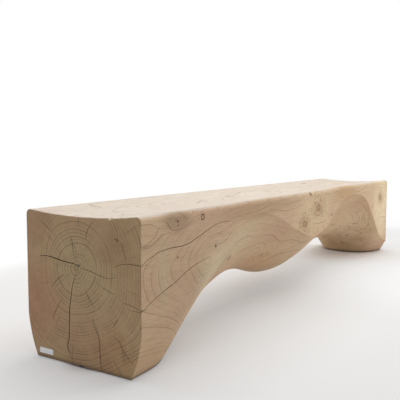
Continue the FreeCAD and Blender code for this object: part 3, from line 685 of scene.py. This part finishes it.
# %% Brushed aluminium for the plate
plate, plate_tree, plate_shader = new_material("aluminium_brushed")
plate_spot = add(plate_tree, "TexCoord").outputs["Object"]
plate_lines = add(
    plate_tree, "VectorMath", {"operation": "MULTIPLY", 1: (200.0, 40.0, 3000.0)}, {0: plate_spot},
)
plate_noise = add(plate_tree, "TexNoise", {"Scale": 1.0, "Detail": 2.0}, {"Vector": plate_lines.outputs[0]})
plate_mix = add(
    plate_tree, "Mix", {"data_type": "RGBA", 6: light("#c9cbcd"), 7: light("#e6e7e8")},
    {0: plate_noise.outputs["Fac"]},
)
plate_tree.links.new(plate_mix.outputs[2], plate_shader.inputs["Base Color"])
plate_shader.inputs["Metallic"].default_value = 1.0
plate_rough = add(plate_tree, "MapRange", {1: 0.3, 2: 0.7, 3: 0.34, 4: 0.46}, {0: plate_noise.outputs["Fac"]})
plate_tree.links.new(plate_rough.outputs[0], plate_shader.inputs["Roughness"])
dress("name_plate", plate)

# %% Bright steel for pins and nails
steel, steel_tree, steel_shader = new_material("steel_bright")
steel_spot = add(steel_tree, "TexCoord").outputs["Object"]
steel_noise = add(steel_tree, "TexNoise", {"Scale": 700.0, "Detail": 3.0}, {"Vector": steel_spot})
steel_mix = add(
    steel_tree, "Mix", {"data_type": "RGBA", 6: light("#a9a8a6"), 7: light("#c4c3c1")},
    {0: steel_noise.outputs["Fac"]},
)
steel_tree.links.new(steel_mix.outputs[2], steel_shader.inputs["Base Color"])
steel_shader.inputs["Metallic"].default_value = 1.0
steel_shader.inputs["Roughness"].default_value = 0.32
for name in ("plate_pins", "glide_nails"):
    dress(name, steel)

# %% Black nylon for the glides
nylon, nylon_tree, nylon_shader = new_material("nylon_moulded_black")
nylon_spot = add(nylon_tree, "TexCoord").outputs["Object"]
nylon_grain = add(nylon_tree, "TexNoise", {"Scale": 1600.0, "Detail": 2.0}, {"Vector": nylon_spot})
nylon_mix = add(
    nylon_tree, "Mix", {"data_type": "RGBA", 6: light("#17171a"), 7: light("#26262a")},
    {0: nylon_grain.outputs["Fac"]},
)
nylon_tree.links.new(nylon_mix.outputs[2], nylon_shader.inputs["Base Color"])
nylon_shader.inputs["Roughness"].default_value = 0.55
nylon_bump = add(
    nylon_tree, "Bump", {"Strength": 0.3, "Distance": 0.0002}, {"Height": nylon_grain.outputs["Fac"]},
)
nylon_tree.links.new(nylon_bump.outputs["Normal"], nylon_shader.inputs["Normal"])
for name in sorted(bench):
    if name.startswith("glide_") and name != "glide_nails":
        dress(name, nylon)
print("small pieces dressed")

# %% [markdown]
# ## Floor and light
# The bench stands in a white studio. The floor is one large plane that really receives the bench's shadow;
# far away it turns into plain white, so it has no edge. Near the bench a part of that white lies over the
# floor as a thin veil. It stands for the light that comes back from everywhere in a white studio, but it is
# painted and not worked out: its places and strengths were set to match the photo. There is more of it
# on the open floor beside the far half, and none close round the far foot or in the slot under the near end.
# The white is only for the camera and for reflections, so it throws no extra light on the wood. A wide lamp
# overhead makes the seat the brightest face, a second one beyond the far end lights the long side more towards
# that end, and a low one behind softens the shadow.


# %% Tell a seen surface from bounced light
def seen_directly(tree):
    """1 for what the camera sees, also in a reflection or through glass, and 0 for light that bounces."""
    path = add(tree, "LightPath")
    seen = path.outputs["Is Camera Ray"]
    for ray in ("Is Glossy Ray", "Is Transmission Ray"):
        seen = add(tree, "Math", {"operation": "MAXIMUM"}, {0: seen, 1: path.outputs[ray]}).outputs[0]
    return seen


print("the white is for seen surfaces only")

# %% Lay the floor
FAR_FOOT_SPOT = (1.05, 0.0, 0.0)
SLOT_SPOT = (-1.164, 0.005, 0.0)
SLOT_SHRINK = 5.0
OPEN_FLOOR_SPOT = (0.50, -0.75, 0.0)
VEIL, EXTRA_VEIL = 0.34, 0.34

bpy.ops.mesh.primitive_plane_add(size=60.0, location=(0.0, 0.0, 0.0))
floor = bpy.context.object
floor.name = "studio_floor"

floor_paint, floor_tree, floor_shader = new_material("studio_floor_paint")
floor_shader.inputs["Base Color"].default_value = light("#eeeeee")
floor_shader.inputs["Roughness"].default_value = 0.9
floor_shader.inputs["Specular IOR Level"].default_value = 0.1
floor_spot = add(floor_tree, "TexCoord").outputs["Object"]
floor_local = add(
    floor_tree, "VectorMath", {"operation": "MULTIPLY_ADD", 1: (0.42, 0.80, 0.0), 2: (0.08, 0.0, 0.0)},
    {0: floor_spot},
)
floor_way = add(floor_tree, "VectorMath", {"operation": "LENGTH"}, {0: floor_local.outputs[0]})
floor_fade = add(
    floor_tree, "MapRange", {"interpolation_type": "SMOOTHSTEP", 1: 0.75, 2: 1.30, 3: VEIL, 4: 1.0},
    {0: floor_way.outputs["Value"]},
)
foot_way = add(floor_tree, "VectorMath", {"operation": "DISTANCE", 1: FAR_FOOT_SPOT}, {0: floor_spot})
slot_way = add(floor_tree, "VectorMath", {"operation": "DISTANCE", 1: SLOT_SPOT}, {0: floor_spot})
slot_way = add(floor_tree, "Math", {"operation": "MULTIPLY", 1: SLOT_SHRINK}, {0: slot_way.outputs["Value"]})
dark_way = add(
    floor_tree, "Math", {"operation": "MINIMUM"}, {0: foot_way.outputs["Value"], 1: slot_way.outputs[0]},
)
foot_veil = add(floor_tree, "MapRange", {1: 0.20, 2: 0.42, 3: 0.0, 4: 1.0}, {0: dark_way.outputs[0]})
lit_way = add(floor_tree, "VectorMath", {"operation": "DISTANCE", 1: OPEN_FLOOR_SPOT}, {0: floor_spot})
lit_veil = add(
    floor_tree, "MapRange", {"interpolation_type": "SMOOTHSTEP", 1: 0.30, 2: 1.00, 3: EXTRA_VEIL, 4: 0.0},
    {0: lit_way.outputs["Value"]},
)
floor_white = add(floor_tree, "Math", {"operation": "ADD"}, {0: floor_fade.outputs[0], 1: lit_veil.outputs[0]})
floor_veil = add(
    floor_tree, "Math", {"operation": "MULTIPLY"}, {0: floor_white.outputs[0], 1: foot_veil.outputs[0]},
)
floor_part = add(
    floor_tree, "Math", {"operation": "MULTIPLY"}, {0: floor_veil.outputs[0], 1: seen_directly(floor_tree)},
)
veil = add(floor_tree, "MapRange", {1: VEIL, 2: 0.8, 3: 0.72, 4: 1.0}, {0: floor_white.outputs[0]})
white = add(floor_tree, "Emission", {"Color": (1.0, 1.0, 1.0, 1.0)}, {"Strength": veil.outputs[0]})
floor_mix = add(
    floor_tree, "MixShader",
    links={0: floor_part.outputs[0], 1: floor_shader.outputs[0], 2: white.outputs[0]},
)
floor_out = next(n for n in floor_tree.nodes if n.type == "OUTPUT_MATERIAL")
floor_tree.links.new(floor_mix.outputs[0], floor_out.inputs["Surface"])
floor.data.materials.append(floor_paint)
print("floor laid")

# %% Fill the studio with white
studio = bpy.data.worlds.new("studio")
bpy.context.scene.world = studio
studio.use_nodes = True
air = studio.node_tree
air.nodes.clear()
fill = add(air, "Background", {"Color": light("#f4f6ff"), "Strength": 0.34})
backdrop = add(air, "Background", {"Color": (1.0, 1.0, 1.0, 1.0), "Strength": 1.0})
air_mix = add(air, "MixShader", links={0: seen_directly(air), 1: fill.outputs[0], 2: backdrop.outputs[0]})
add(air, "OutputWorld", links={"Surface": air_mix.outputs[0]})
print("studio filled")


# %% Hang the lamps
def softbox(name, place, target, size, power, tint):
    """A square lamp at a place, looking at a target."""
    lamp = bpy.data.lights.new(name, "AREA")
    lamp.size = size
    lamp.energy = power
    lamp.color = light(tint)[:3]
    holder = bpy.data.objects.new(name, lamp)
    bpy.context.scene.collection.objects.link(holder)
    holder.location = place
    holder.rotation_euler = (Vector(target) - Vector(place)).to_track_quat("-Z", "Y").to_euler()
    return holder


overhead = softbox("overhead_softbox", (0.2, 0.1, 3.3), (0.2, 0.0, 0.3), 4.0, 117.0, "#fffdf8")
far_lamp = softbox("far_end_softbox", (2.9, -2.5, 1.4), (0.4, 0.0, 0.3), 1.6, 38.0, "#fffaf2")
back_lamp = softbox("low_back_softbox", (0.0, 3.4, 0.8), (0.0, 0.0, 0.0), 3.0, 40.0, "#fffdf8")
print("lamps:", overhead.name, far_lamp.name, back_lamp.name)

# %% [markdown]
# ## Camera
# The camera stands near one end, a little above the seat, and looks along the bench. Its place and its turn
# were worked out from the straight edges of the block, so that the picture has the same perspective.

# %% Set up the camera
YAW, PITCH, ROLL = (math.radians(v) for v in (32.28, -4.69, 0.096))
EYE = (-2.3144, -1.0889, 0.590)

ahead = Vector((math.cos(PITCH) * math.cos(YAW), math.cos(PITCH) * math.sin(YAW), math.sin(PITCH)))
level = Vector((math.sin(YAW), -math.cos(YAW), 0.0))
upright = level.cross(ahead)
right = math.cos(ROLL) * level + math.sin(ROLL) * upright
above = math.cos(ROLL) * upright - math.sin(ROLL) * level
turn = Matrix((right, above, -ahead)).transposed().to_4x4()
lens = bpy.data.cameras.new("camera")
lens.sensor_width = 36.0
lens.lens = 51.16
lens.clip_end = 200.0
camera = bpy.data.objects.new("camera", lens)
bpy.context.scene.collection.objects.link(camera)
camera.matrix_world = Matrix.Translation(EYE) @ turn
bpy.context.scene.camera = camera
bpy.context.scene.view_settings.view_transform = "Standard"
print("camera looks along", [round(v, 3) for v in ahead])
